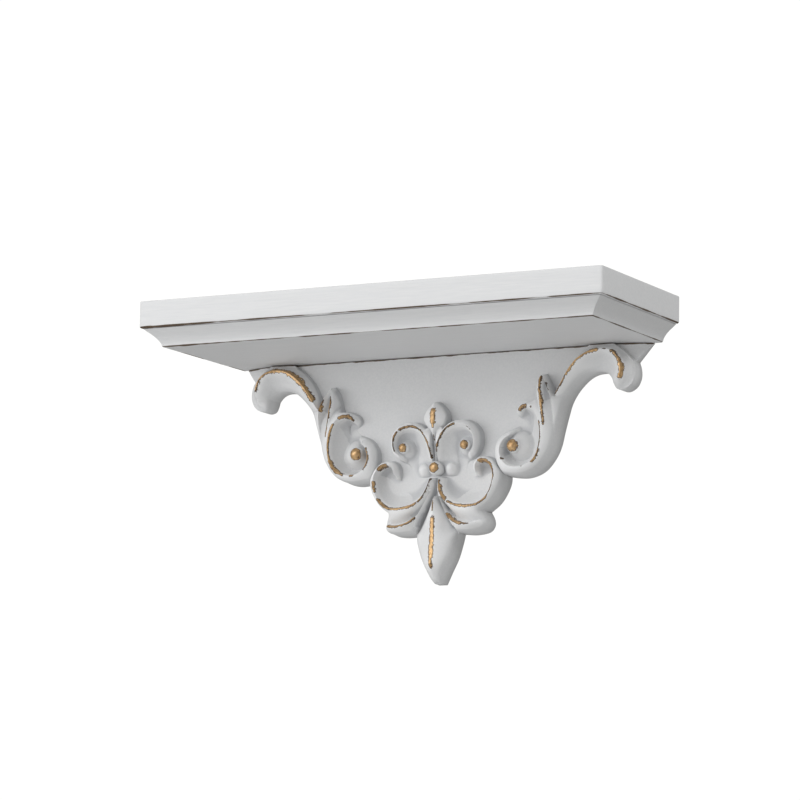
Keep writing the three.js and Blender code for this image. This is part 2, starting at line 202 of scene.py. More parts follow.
def inset(chain, distance):
    """Points just inside a closed clockwise or anticlockwise chain, one for each of its own."""
    ahead = np.roll(chain, -1, axis=0) - np.roll(chain, 1, axis=0)
    normal = np.column_stack([-ahead[:, 1], ahead[:, 0]])
    normal /= np.hypot(*normal.T)[:, None] + 1e-9
    x, y = chain.T
    turn = np.sign(np.sum(x * np.roll(y, -1) - y * np.roll(x, -1)))
    return chain + turn * distance * normal


def triangulated(loops, lines=(), spacing=0.75, keep_off=0.45, border=()):
    """Points and triangles filling the first loop less the others, with `lines` as edges.

    Rows of extra points follow the first loop inside it, at the `border` distances.
    """
    chains = [np.asarray(loop)[:, :2] for loop in loops] + [line[:, :2] for line in lines]
    edges, first = [], 0
    for k, chain in enumerate(chains):
        index = np.arange(first, first + len(chain))
        edges += list(zip(index[:-1], index[1:]))
        if k < len(loops):
            edges.append((index[-1], index[0]))
        first += len(chain)
    fixed = np.vstack(chains)
    low, high = fixed.min(0), fixed.max(0)
    x, y = np.meshgrid(np.arange(low[0], high[0], spacing),
                       np.arange(low[1], high[1], spacing * math.sqrt(0.75)))
    x[::2] += spacing / 2
    grid = np.column_stack([x.ravel(), y.ravel()])
    grid = grid[inside(grid, chains[0])]
    rows = [inset(chains[0], distance) for distance in border]
    rows = [row[inside(row, chains[0])] for row in rows]
    clear = [(0.9 * distance, 0.2) for distance in border]
    clear.append((max([keep_off, *(distance + 0.3 for distance in border)]), keep_off))
    loose = []
    for row, (from_loop, from_line) in zip([*rows, grid], clear):
        for k, chain in enumerate(chains):
            closed = np.vstack([chain, chain[:1]]) if k < len(loops) else chain
            row = row[nearest(row, closed)[0] > (from_line if k else from_loop)]
        loose.append(row)
    points = np.vstack([fixed, *loose])
    found = delaunay_2d_cdt([Vector(p) for p in points], edges, [], 0, 1e-4)
    points = np.array(found[0])
    triangles = np.array(found[2])
    middle = points[triangles].mean(axis=1)
    keep = inside(middle, chains[0])
    for hole in chains[1:len(loops)]:
        keep &= ~inside(middle, hole)
    return points, triangles[keep]


def springs(points, triangles):
    """Pairs of joined points and the pull between them, for smoothing over a triangulation."""
    pairs, pulls = [], []
    for k in range(3):
        i, j, apex = (triangles[:, (k + n) % 3] for n in range(3))
        u, v = points[i] - points[apex], points[j] - points[apex]
        area = np.abs(u[:, 0] * v[:, 1] - u[:, 1] * v[:, 0]) + 1e-9
        pull = np.clip(np.sum(u * v, axis=1) / area, 0.02, 20)
        pairs += [np.column_stack([i, j]), np.column_stack([j, i])]
        pulls += [pull, pull]
    return np.vstack(pairs), np.concatenate(pulls)


def rim_edges(triangles):
    """The directed edges that only one triangle uses."""
    edges = np.vstack([triangles[:, [0, 1]], triangles[:, [1, 2]], triangles[:, [2, 0]]])
    known = set(map(tuple, edges))
    return np.array([e for e in known if (e[1], e[0]) not in known])


def place(points, depth):
    """Rows of [x, drop] and their depths, as [x, y, z] in millimetres."""
    return np.column_stack([points[:, 0], -np.broadcast_to(depth, len(points)),
                            BRACKET_TOP - points[:, 1]])


# ---------------------------------------------------------------- bracket outlines

ARM_TOP = [(142, 4), (147.5, 8.8), (151.2, 13)]
ARM_END = [
    (152.6, 18), (152.7, 23.5), (150.6, 28.8), (147, 32), (143, 33.2), (139, 32), (137, 28.5),
    (136, 25),
]
ARM_UNDERSIDE = [
    (133, 21.7), (129, 19.7), (124, 19.3), (118, 20.5), (112, 24), (105, 31), (100, 39),
    (97, 48), (94, 58.5), (91.5, 68), (88, 75.5), (82, 83), (76, 87), (68, 89.2), (60, 89),
    (52.6, 87.8),
]
C_SCROLL_BACK = [(52.2, 93), (49.4, 99.6), (44.4, 106.6), (36.4, 112.8)]
LEAF_EDGE = [
    (39.2, 118), (39.8, 122), (37.6, 125.6), (33, 127.2), (25.4, 127.8), (16.5, 127),
]
SPEAR_SIDE = [(14.8, 134), (11.4, 144.6), (6.4, 154.6), (2.4, BRACKET_HEIGHT - 0.3)]
SPEAR_END = [(1.8, BRACKET_HEIGHT), (0, BRACKET_HEIGHT)]

PANEL_OUTLINE = both_halves(outline((0, 0), [
    (FREE, [(WING_END, 0)]), (FREE, [(151.2, 13)]), (FREE, ARM_END), (FREE, ARM_UNDERSIDE),
    (FREE, C_SCROLL_BACK), (FREE, LEAF_EDGE), (FREE, SPEAR_SIDE), (FREE, SPEAR_END),
]))

SCROLL_OUTLINE = outline((119, 0), [
    (UNDER_BOARD, [(136, 0)]),
    (FREE, ARM_TOP),
    (FREE, ARM_END),
    (FREE, ARM_UNDERSIDE),
    (RAISED, [(49.4, 83.4), (47, 77.6), (46.4, 71.6), (47.4, 65.4), (50.4, 60.6)]),
    (RUNOUT, [(54, 57.4), (58.4, 55.4), (62.6, 53.6), (66.4, 50)]),
    (RAISED, [(63.8, 48.4), (62, 46.4), (61.6, 43.6), (63.2, 40.6), (67.5, 38), (72, 36.8),
              (76.6, 36.8)]),
    (RAISED, [(78, 30), (80.6, 23), (84.4, 17.8)]),
    (RAISED, [(88.6, 24.8), (93.8, 34.4)]),
    (FLANK, [(94.2, 30.5), (95.8, 24.5), (99.6, 17), (104.4, 10.8), (110.4, 5), (119, 0)]),
])

WAIST = 87.4  # where the C-scrolls take over from the fleur
C_SCROLL_OUTLINE = outline((1, WAIST), [
    (FLANK, [(0.5, 92), (1.5, 99), (5, 106.5), (9, 113.5), (13, 121), (16.5, 127)]),
    (FREE, [(25.4, 127.8), (33, 127.2), (37.6, 125.6), (39.8, 122), (39.2, 118), (36.4, 112.8)]),
    (FREE, [(44.4, 106.6), (49.4, 99.6), (52.2, 93), (52.6, 87.8)]),
    (RAISED, [(50.3, 83.1), (46.8, 78), (42.5, 75), (37.2, 74), (32.4, 75.4), (29.6, 79),
              (28.9, 83), (29.2, WAIST)]),
    (RUNOUT, [(22, WAIST)]),
    (RUNOUT, [(1, WAIST)]),
])

FLEUR_OUTLINE = both_halves(outline((0, 33), [
    (RAISED, [(4, 36), (7.2, 39.5), (9.3, 43.6), (9.6, 46.9), (8.3, 50.4), (7, 52.6)]),
    (RAISED, [(10.6, 49.8), (17.5, 47.2), (25, 47.8), (31.6, 51.6), (35.4, 58), (35.6, 66),
              (32.6, 72.6), (27.6, 76), (24, 77.6)]),
    (RUNOUT, [(23, 81), (22, WAIST)]),
    (RUNOUT, [(0, WAIST)]),
]))

SPEAR_OUTLINE = both_halves(outline((0, 99), [
    (FLANK, [(4.2, 107.1), (8.2, 114.1), (12.2, 121.6), (15.7, 127.6)]),
    (FREE, SPEAR_SIDE),
    ((7, 2), SPEAR_END),
]))

# ---------------------------------------------------------------- crests
# Rows of x, drop, front depth, and how far the crest reaches: on its hollow side, and where
# it swells down to the outline.

ARM_CREST = [
    (95, 34, 20, 6, 8), (99.5, 27, 20.8, 6, 14), (104, 20, 21.6, 6, 25),
    (108.5, 14.5, 22.2, 6, 25), (113.5, 10, 22.6, 6, 25), (121, 6, 21.4, 6, 25),
    (130, 4.5, 20.4, 6, 25), (137.4, 6, 21.2, 6, 25), (141.8, 9.5, 22, 6, 25),
    (144.8, 15, 22, 6, 25), (145.6, 21, 21.6, 6, 25), (143.8, 26, 20.6, 6, 25),
]
TAIL_CREST = [
    (84.8, 19.6, 19.4, 3, 20), (87.4, 25, 21, 3.4, 20), (89.7, 30, 21.6, 4, 20),
    (92.2, 35, 21.6, 4.4, 20), (93, 40, 20.8, 4.4, 20), (93.2, 46, 19.4, 4.2, 20),
    (93, 53, 17.6, 4, 20), (92.2, 60, 15.6, 4, 20),
]
LEAF_CREST = [
    (83.8, 19.6, 19.4, 3, 9), (83.2, 24, 20.8, 3.4, 8), (83.4, 31, 21.4, 4.4, 7),
    (84.6, 40, 21.6, 5, 5), (86, 50, 20.8, 4, 4), (87, 58, 18.6, 3, 4),
]
SCROLL_CREST = [
    (66, 44.2, 18.6, 4, 6), (70, 41.3, 20, 7, 8), (75, 41.6, 20.6, 11, 12),
    (79.5, 44.8, 21, 13, 18), (82.5, 50.5, 21.5, 14, 20), (84, 57.5, 21.8, 14, 20),
    (84.3, 64, 22, 14, 20), (83.5, 70, 22, 13, 20), (81.5, 76, 21.8, 12, 20),
    (77.8, 80.5, 21.6, 9, 20), (72.5, 83.3, 21.4, 7.5, 20), (66, 84.3, 21.2, 6.4, 20),
    (60, 83.2, 21, 5.6, 20), (55.6, 80, 21, 4.6, 20), (53, 75, 21, 4, 20), (52.6, 71, 21, 4, 20),
    (53.6, 67, 20.6, 4, 20), (56, 63.4, 19.6, 3.6, 13), (59.4, 61, 18, 3, 8),
]
C_SCROLL_CREST = [
    (3.6, 89, 17.5, 6, 3), (5.2, 97, 20.6, 10, 3.2), (9, 103.2, 21.4, 12, 4),
    (14, 107, 21.8, 13, 6), (20.5, 109.2, 22.2, 13, 14), (28, 110, 22.4, 13, 20),
    (35, 109, 22, 13, 20), (41, 105.3, 21.4, 12, 20), (45, 99.5, 21, 10, 20),
    (47.3, 92.5, 21, 8.5, 20), (47.2, 86.5, 20.8, 6.5, 20), (44.8, 81.5, 20.4, 5, 20),
    (41, 78.5, 20, 4, 20), (37, 77.8, 19.8, 3.6, 20), (34, 79.2, 19.6, 3.2, 12),
    (32.6, 82, 18.8, 3, 6), (32.4, 84.6, 17.4, 2.6, 4),
]
LOWER_LEAF_CREST = [
    (10.4, 113.6, 19.6, 6, 20), (14.6, 117.6, 22.4, 7, 20), (18.5, 120.2, 23.4, 8, 20),
    (23.5, 122, 23.8, 9, 20), (30, 122.7, 23.2, 9, 20), (35.4, 121.6, 20.6, 8, 20),
]
C_EDGE_CREST = [
    (2.2, 92, 16, 2, 6), (3, 98, 18, 2.2, 6), (5.8, 104.6, 19.4, 2.6, 6),
    (9.4, 111.6, 20.4, 3, 8), (12.6, 117.4, 20.6, 3, 8), (15.4, 123, 18.4, 3, 8),
]
VOLUTE_CREST = [
    (2.6, 76, 16.5, 9, 12), (2.9, 68.5, 20.4, 13, 12), (5.4, 61, 21.2, 14, 12),
    (9.3, 55.2, 21.6, 14, 12), (14.5, 52, 21.8, 12, 12), (20.5, 51.5, 21.8, 10, 12),
    (26.5, 53.3, 21.8, 8, 12), (30.8, 57.5, 21.4, 6.6, 12), (32, 63, 20.8, 5.6, 12),
    (31, 68.5, 19.8, 5, 9), (28, 71.7, 18, 5, 5),
]
BUD_RIDGE = [
    (0, 33.4, 17.6, 9, 40), (0, 36, 19.6, 9, 40), (0, 41, 21.6, 9, 40), (0, 47, 22, 9, 40),
    (0, 53, 21, 9, 40), (0, 60, 19, 9, 40), (0, 68, 17.2, 9, 40), (0, 78, 15.6, 9, 40),
]
BUD_WIDTH = [
    (33, 0.2), (36, 3.9), (39.5, 7), (43.7, 9.2), (46.9, 9.5), (51, 7.5), (55.4, 4.6),
    (59.7, 2.6), (66, 2), (79, 1.8),
]
SPEAR_RIDGE = [
    (0, 99.5, 14, 9, 40), (0, 103, 18, 9, 40), (0, 107, 19.8, 9, 40), (0, 116, 20, 9, 40),
    (0, 128, 19.8, 9, 40), (0, 140, 21, 9, 40), (0, 150, 22, 9, 40), (0, 156, 18.6, 9, 40),
    (0, 161, 13, 9, 40), (0, 163, 10, 9, 40),
]

# Balls and bosses: centre, radius and front depth.
SCROLL_BALL = ((62.3, 68.8), 5.2, 22)
VOLUTE_BALL = ((24.4, 66.3), 3.9, 21.4)
MIDDLE_PEARL = ((0, 81.4), 5.2, 19.8)
SIDE_PEARL = ((10.4, 81.4), 6.6, 15)

# Worn stretches: first and last knot of the crest, half-width, and how golden (0 is dark).
ARM_WEAR = {
    "left": [(0.9, 9.4, 1.6, 0.9), (8.2, 9.4, 2.8, 0.6), (5.8, 7.6, 2, 0.9), (3, 4.6, 2.1, 0.9),
             (1, 1.6, 1.9, 0.6)],
    "right": [(0.1, 2.0, 1.2, 0.5), (2.0, 5.5, 1.7, 0.9), (6.2, 6.4, 0.9, 0.2),
              (7.1, 9.0, 1.2, 0.7), (7.2, 7.9, 1.7, 0.6), (9.2, 10.8, 1.6, 0.9)],
}
TAIL_WEAR = {
    "left": [(1.7, 2.5, 0.8, 0.3), (2.5, 3.1, 1.6, 0.8)],
    "right": [(1.2, 2.4, 0.6, 0)],
}
LEAF_WEAR = {
    "left": [(1.4, 1.8, 0.6, 0.2), (1.8, 3.1, 1.3, 0.6), (3.1, 4.6, 0.5, 0.2)],
    "right": [(0.3, 4.6, 1.2, 0.6)],
}
SCROLL_WEAR = {
    "left": [(0.2, 2.2, 1.4, 0.8), (0.2, 1.1, 1.7, 0.7), (3.3, 7.6, 0.7, 0.6), (7.6, 10, 1.5, 0.7),
             (11, 11.3, 1.1, 0.7), (13, 16.4, 1.6, 0.6)],
    "right": [(0.2, 1.5, 1.2, 0.6), (2.3, 2.4, 0.8, 0), (4.4, 7.4, 1.1, 0.3), (7.4, 9, 1.6, 0.7),
              (10.3, 10.4, 0.8, 0.1), (13.4, 13.5, 0.7, 0)],
}
C_SCROLL_WEAR = {
    "left": [(0, 2.4, 1.3, 0.3), (2.8, 7.5, 1.3, 0.8), (8.4, 9.4, 1.1, 0.7), (11.2, 12.8, 1.2, 0.6)],
    "right": [(0.2, 0.7, 0.7, 0.1), (0.7, 2.3, 1.5, 0.8), (2.8, 7.4, 1.2, 0.7),
              (7.4, 10.6, 0.8, 0.3), (10.6, 13.4, 1.5, 0.9)],
}
LOWER_LEAF_WEAR = {
    "left": [(0.8, 2, 1.2, 0.4), (2, 5, 1.2, 0.8)],
    "right": [(0.4, 3, 1.4, 0.8), (3, 4, 0.8, 0.2)],
}
VOLUTE_WEAR = {
    "left": [(0.3, 6, 0.9, 0.4), (6.4, 9, 0.6, 0.2)],
    "right": [(1.3, 4.4, 1.0, 0.3), (0.8, 1.0, 0.8, 0.4), (6.1, 6.7, 0.7, 0.1)],
}
BUD_WEAR = {"middle": [(2, 3.4, 2.2, 0.9), (3.4, 3.9, 1.4, 0.7), (4.8, 5.2, 0.8, 0.3)]}
SPEAR_WEAR = {"middle": [(1.6, 2.6, 0.7, 0.6), (3.2, 6.2, 1.8, 0.8), (4.2, 5.6, 2.2, 0.8)]}

# ---------------------------------------------------------------- carving


class Carving:
    """A carved piece seen from the front: a filled outline, its relief and where it is worn."""

    def __init__(self, edge, crests, balls=()):
        self.crests = {name: smooth_line(rows, 0.8) for name, rows in crests.items()}
        lines = list(self.crests.values())
        lines += [self.ring(ball, share) for ball in balls for share in (0.5, 0.8, 0.95, 1)]
        closed = np.vstack([edge, edge[:1]])
        self.points, self.triangles = triangulated([edge], lines, border=(0.35, 0.75, 1.2, 1.7))
        self.edge_gap, _, where = nearest(self.points, closed)
        self.pairs, self.pulls = springs(self.points, self.triangles)
        self.base, self.fullness = (
            self.smoothed(np.interp(where, range(len(closed)), closed[:, k])) for k in (2, 3))
        self.near = {name: nearest(self.points, line) for name, line in self.crests.items()}
        self.depth = np.full(len(self.points), INNER)

    @staticmethod
    def ring(ball, share):
        (x, drop), radius, _ = ball
        angle = np.linspace(0, 2 * math.pi, max(8, int(9 * radius * share)))
        return np.column_stack([x + share * radius * np.cos(angle),
                                drop + share * radius * np.sin(angle)])

    def add(self, surface, fillet=0.5):
        self.depth = blended_max(surface, self.depth, fillet)

    def smoothed(self, values, held=False, rounds=30):
        """The values spread over their neighbours, except where they are held."""
        here, there = self.pairs.T
        total = np.bincount(here, self.pulls, len(values))
        for _ in range(rounds):
            mean = np.bincount(here, self.pulls * values[there], len(values)) / total
            values = np.where(held, values, mean)
        return values

    def crest(self, name, hollow_side=0, floor=INNER):
        """A ridge: hollow on one side (+1 is its right) and swelling to the outline elsewhere."""
        gap, side, where = self.near[name]
        line = self.crests[name]
        top, reach, limit = (np.interp(where, range(len(line)), line[:, k]) for k in (2, 3, 4))
        held = (gap < 0.01) | (self.edge_gap < 0.01)
        t = self.smoothed(gap / (gap + self.edge_gap + 1e-6), held)
        top = self.smoothed(top, gap < 0.01)
        round_fall = 1 - (1 - t ** self.fullness) ** (1 / self.fullness)
        swell = 1 - CREST_SLOPE * t - (1 - CREST_SLOPE) * round_fall
        swollen = self.base + (top - self.base) * swell
        swollen = INNER + (swollen - INNER) * (1 - np.clip(gap / limit, 0, 1) ** 3)
        low = INNER + (floor - INNER) * (1 - np.clip(gap / (FLOOR_REACH * reach), 0, 1) ** 3)
        low = self.smoothed(low)
        hollowed = low + (top - low) * (1 - np.clip(gap / reach, 0, 1)) ** HOLLOW_POWER
        share = 0.5 + 0.5 * side * hollow_side if hollow_side else 0
        return swollen * (1 - share) + hollowed * share

    def cone(self, centre, radius, middle, top, foot):
        """A low mound round `middle` whose foot is a circle that need not share its centre."""
        rel = self.points - middle
        out = np.hypot(rel[:, 0], rel[:, 1]) + 1e-6
        aim = rel / out[:, None]
        shift = np.subtract(middle, centre)
        along = aim @ shift
        reach = -along + np.sqrt(np.maximum(along ** 2 + radius ** 2 - shift @ shift, 0.01))
        return top - (top - foot) * (out / reach) ** CONE_POWER

    def button(self, ball):
        """A smooth round boss that runs out softly at its foot."""
        (x, drop), radius, front = ball
        out = np.clip(np.hypot(*(self.points - (x, drop)).T) / radius, 0, 1)
        self.add(INNER + (front - INNER) * (1 - out ** 2) ** BUTTON_POWER)

    def settle(self):
        """Softens the foot of the relief where it meets the panel."""
        rise = ease(self.edge_gap, -0.1, 1.3)
        settled = INNER + (self.depth - INNER) * rise
        self.depth = np.where(self.base < PANEL_DEPTH, settled, self.depth)

    def ball(self, ball):
        (x, drop), radius, front = ball
        rel = self.points - (x, drop)
        out = np.hypot(rel[:, 0], rel[:, 1]) / radius
        dome = front - radius * (1 - np.sqrt(np.clip(1 - out ** 2, 0, 1)))
        self.depth = np.where(out <= 0.999, np.maximum(self.depth, dome), self.depth)

    def worn(self, stretches):
        """How worn each point is (1 on a rubbed crest), and how golden the wear shows."""
        # The dark band along the top edge starts the wear, and shows dark, not golden.
        worn = seam(self.points[:, 1])
        golden = -1 * (worn > 0)
        for name, rows in stretches:
            gap, _, where = self.near[name]
            line = self.crests[name]
            knot = np.interp(where, range(len(line)), line[:, -1])
            for first, last, half_width, gold in rows:
                beyond = np.maximum(np.maximum(first - knot, knot - last), 0) * 6
                value = 1 - 0.5 * np.hypot(gap, beyond) / half_width
                golden = np.where(value > worn, gold, golden)
                worn = np.maximum(worn, value)
        return np.clip(worn, 0, 1), golden

    def gilded_ball(self, worn, golden, ball, cover=0.9):
        (x, drop), radius, _ = ball
        out = np.hypot(*(self.points - (x, drop)).T) / radius
        value = 1 - 0.5 * (out / cover) ** 4
        golden = np.where(value > worn, 0.8, golden)
        return np.maximum(worn, np.clip(value, 0, 1)), golden

    def mesh(self, name, side, worn, golden):
        """The piece itself: its relief, the walls at its outline and its flat back."""
        points = self.points * (side, 1)
        triangles = self.triangles if side > 0 else self.triangles[:, ::-1]
        count = len(points)
        # Painted shade and painted highlight: how far each point stands above or below its smoothed
        # surroundings, so the paint is greyed in creases and at the feet of ornaments and whitened on
        # crests; where the piece ends free of the panel only the whitening is kept.
        raised = self.depth - self.smoothed(self.depth)
        raised = np.clip(np.where(self.base < PANEL_DEPTH, raised, np.maximum(raised, 0)), -1, 1)
        front = place(points, self.depth)
        back = place(points, BACK)
        rim = rim_edges(triangles)
        walls = np.column_stack([rim[:, 1], rim[:, 0], rim[:, 0] + count, rim[:, 1] + count])
        faces = triangles.tolist() + walls.tolist() + (triangles[:, ::-1] + count).tolist()
        return add_mesh(name, np.vstack([front, back]), faces,
                        worn=np.tile(worn, 2), golden=np.tile(golden, 2),
                        raised=np.tile(raised, 2))


def scroll_carving():
    carving = Carving(SCROLL_OUTLINE, {
        "arm": ARM_CREST, "tail": TAIL_CREST, "leaf": LEAF_CREST, "scroll": SCROLL_CREST,
    }, [SCROLL_BALL])
    carving.add(carving.crest("arm", hollow_side=-1, floor=13.5))
    carving.add(carving.crest("scroll", hollow_side=1, floor=INNER))
    carving.add(carving.crest("tail", hollow_side=1, floor=15.5))
    carving.add(carving.crest("leaf", hollow_side=-1, floor=15.5))
    foot = INNER + 2.4 * ease(carving.points[:, 1], 60, 72)
    carving.add(carving.cone((65.5, 67.3), 10.6, (62.3, 68.8), 19, foot))
    carving.settle()
    carving.ball(SCROLL_BALL)
    return carving


def c_scroll_carving():
    carving = Carving(C_SCROLL_OUTLINE, {
        "scroll": C_SCROLL_CREST, "leaf": LOWER_LEAF_CREST, "edge": C_EDGE_CREST,
    })
    carving.add(carving.crest("scroll", hollow_side=-1))
    carving.add(carving.crest("leaf", hollow_side=-1))
    carving.add(carving.crest("edge", hollow_side=-1))
    carving.settle()
    return carving


def centre_fleur():
    mirrored = [(-x, *rest) for x, *rest in VOLUTE_CREST]
    gold_balls = [((side * VOLUTE_BALL[0][0], VOLUTE_BALL[0][1]), *VOLUTE_BALL[1:])
                  for side in (-1, 1)] + [MIDDLE_PEARL]
    carving = Carving(FLEUR_OUTLINE, {
        "bud": BUD_RIDGE, "right": VOLUTE_CREST, "left": mirrored,
    }, gold_balls)
    x, drop = carving.points.T
    beside = ease(np.abs(x), 0.6, 2.4)
    above_waist = 1 - ease(drop, 74, WAIST)
    for side, name in ((1, "right"), (-1, "left")):
        mine = np.where(x * side > 0, beside, 0)
        volute = carving.crest(name, hollow_side=side, floor=13)
        carving.add(INNER + (volute - INNER) * mine * above_waist)
        centre = (side * VOLUTE_BALL[0][0], VOLUTE_BALL[0][1])
        carving.add(carving.cone(centre, 7.2, centre, 18, 12))
        carving.button(((side * SIDE_PEARL[0][0], SIDE_PEARL[0][1]), *SIDE_PEARL[1:]))
    half_width = np.interp(drop, *np.transpose(BUD_WIDTH))
    ridge = np.interp(drop, [row[1] for row in BUD_RIDGE], [row[2] for row in BUD_RIDGE])
    s = np.abs(x) / half_width
    face = ridge - 4.4 * np.clip(s, 0, 1.3) ** 1.4
    bud = INNER + (face - INNER) * (1 - ease(s, 0.92, 1.25)) * (1 - ease(drop, 78, 80))
    carving.add(bud, 0.3)
    carving.settle()
    for ball in gold_balls:
        carving.ball(ball)
    return carving, gold_balls


def spear_drop():
    carving = Carving(SPEAR_OUTLINE, {"ridge": SPEAR_RIDGE})
    carving.add(carving.crest("ridge"))
    carving.settle()
    return carving


def carved_pieces(material):
    scroll, c_scroll, spear = scroll_carving(), c_scroll_carving(), spear_drop()
    for name, side in SIDES.items():
        wear = scroll.worn([("arm", ARM_WEAR[name]), ("tail", TAIL_WEAR[name]),
                            ("leaf", LEAF_WEAR[name]), ("scroll", SCROLL_WEAR[name])])
        wear = scroll.gilded_ball(*wear, SCROLL_BALL)
        node = f"{name}_scroll_carving"
        finish_piece(scroll.mesh(f"{name}_scroll", side, *wear), material, "painted_carving", node)
        wear = c_scroll.worn([("scroll", C_SCROLL_WEAR[name]), ("leaf", LOWER_LEAF_WEAR[name])])
        node = f"{name}_c_scroll_carving"
        finish_piece(c_scroll.mesh(f"{name}_c_scroll", side, *wear), material, "painted_carving",
                     node)
    fleur, gold_balls = centre_fleur()
    wear = fleur.worn([("bud", BUD_WEAR["middle"]), ("left", VOLUTE_WEAR["left"]),
                       ("right", VOLUTE_WEAR["right"])])
    for ball in gold_balls:
        wear = fleur.gilded_ball(*wear, ball, 0.76 if ball == MIDDLE_PEARL else 0.9)
    finish_piece(fleur.mesh("fleur", 1, *wear), material, "painted_carving", "centre_fleur")
    wear = spear.worn([("ridge", SPEAR_WEAR["middle"])])
    finish_piece(spear.mesh("spear", 1, *wear), material, "painted_carving", "spear_drop")


# ---------------------------------------------------------------- panel


def wing_depth(x):
    """The panel's front seen from above: flat in the middle, rounded back to the wall at each end."""
    reach, power = 25, 1.6
    t = np.clip((np.abs(x) - (WING_END + 1 - reach)) / reach, 0, 1)
    return PANEL_DEPTH * (1 - t ** power) ** (1 / power)


def capsule(x, top, bottom, radius, steps=14):
    """A closed upright slot shape: its end circles are centred at drops `top` and `bottom`."""
    angle = np.linspace(0, math.pi, steps)
    lower = np.column_stack([x + radius * np.cos(angle), bottom + radius * np.sin(angle)])
    upper = np.column_stack([x - radius * np.cos(angle), top - radius * np.sin(angle)])
    return np.vstack([lower, upper])


def hanger_pockets():
    """For each keyhole plate: the slot it lies in, the space behind its keyhole, their depths."""
    pockets = []
    for name in SIDES:
        (left, front, low), (right, _, high) = (np.array(c) / MM
                                                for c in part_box(f"{name}_keyhole_plate"))
        x, half = (left + right) / 2, (right - left) / 2
        top, bottom = BRACKET_TOP - high + half, BRACKET_TOP - low - half
        slot = capsule(x, top, bottom, half + 0.3)
        space = capsule(x, top + HEAD_SPACE_TOP, bottom - HEAD_SPACE_BOTTOM, HEAD_SPACE_RADIUS)
        pockets.append((slot, 0.3 - front, space, HEAD_SPACE_DEPTH))
    return pockets


def joined(parts):
    """One list of corners and faces from several."""
    corners, faces = [], []
    for more_corners, more_faces in parts:
        shift = sum(len(c) for c in corners)
        corners.append(more_corners)
        faces += [[int(i) + shift for i in face] for face in more_faces]
    return np.vstack(corners), faces


def rearward(loops, depth):
    """A flat face looking back at the wall, at one depth."""
    points, triangles = triangulated(loops, spacing=4, keep_off=2)
    return place(points, depth), triangles[:, ::-1].tolist()


def pocket_wall(loop, start, end):
    """The upright sides of a pocket, facing into it."""
    count = len(loop)
    here = np.arange(count)
    there = (here + 1) % count
    corners = np.vstack([place(loop, start), place(loop, end)])
    return corners, np.column_stack([here, there, there + count, here + count]).tolist()


def panel_foot(chain):
    """The panel's outline where it meets the wall: spread low down, but never below the tip."""
    spread = FLARE * ease(chain[:, 1], *FLARE_DROPS)[:, None]
    foot = chain + spread * (inset(chain, -1) - chain)
    return np.column_stack([foot[:, 0], np.clip(foot[:, 1], 0, BRACKET_HEIGHT)])


def panel_shell(chain, foot):
    """The panel's front and its sides, which end on the wall at `foot`."""
    points, triangles = triangulated([chain], spacing=2.5, keep_off=1.2, border=(0.7,))
    folded = np.column_stack([np.abs(points[:, 0]), points[:, 1]])
    carved = inside(folded, SCROLL_OUTLINE) | (nearest(folded, SCROLL_OUTLINE)[0] < 0.1)
    depth = np.where(carved, PANEL_DEPTH, wing_depth(points[:, 0]))
    edge = rim_edges(triangles)
    count = len(points)
    walls = np.column_stack([edge[:, 1], edge[:, 0], edge[:, 0] + count, edge[:, 1] + count])
    behind = points.copy()
    gap, _, where = nearest(points, np.vstack([chain, chain[:1]]))
    on_edge = gap < 0.01
    behind[on_edge] = foot[np.rint(where[on_edge]).astype(int) % len(chain)]
    return (np.vstack([place(points, depth), place(behind, 0)]),
            triangles.tolist() + walls.tolist())


def bracket_panel(material):
    chain = PANEL_OUTLINE[:, :2]
    foot = panel_foot(chain)
    pockets = hanger_pockets()
    parts = [panel_shell(chain, foot), rearward([foot, *(slot for slot, *_ in pockets)], 0)]
    for slot, slot_depth, space, space_depth in pockets:
        parts += [pocket_wall(slot, 0, slot_depth), rearward([slot, space], slot_depth),
                  pocket_wall(space, slot_depth, space_depth), rearward([space], space_depth)]
    corners, faces = joined(parts)
    # The same dark band along the top edge, on the panel's front.
    dark = seam(BRACKET_TOP - corners[:, 2]) * (corners[:, 1] < -1)
    thing = add_mesh("panel", corners, faces, worn=dark, golden=dark * 0 - 1)
    mesh = bmesh.new()
    mesh.from_mesh(thing.data)
    loose = [corner for corner in mesh.verts if not corner.link_faces]
    bmesh.ops.delete(mesh, geom=loose)
    bmesh.ops.remove_doubles(mesh, verts=mesh.verts, dist=1e-6)
    mesh.to_mesh(thing.data)
    mesh.free()
    finish_piece(thing, material, "painted_carving", "bracket_panel")


# ---------------------------------------------------------------- boards


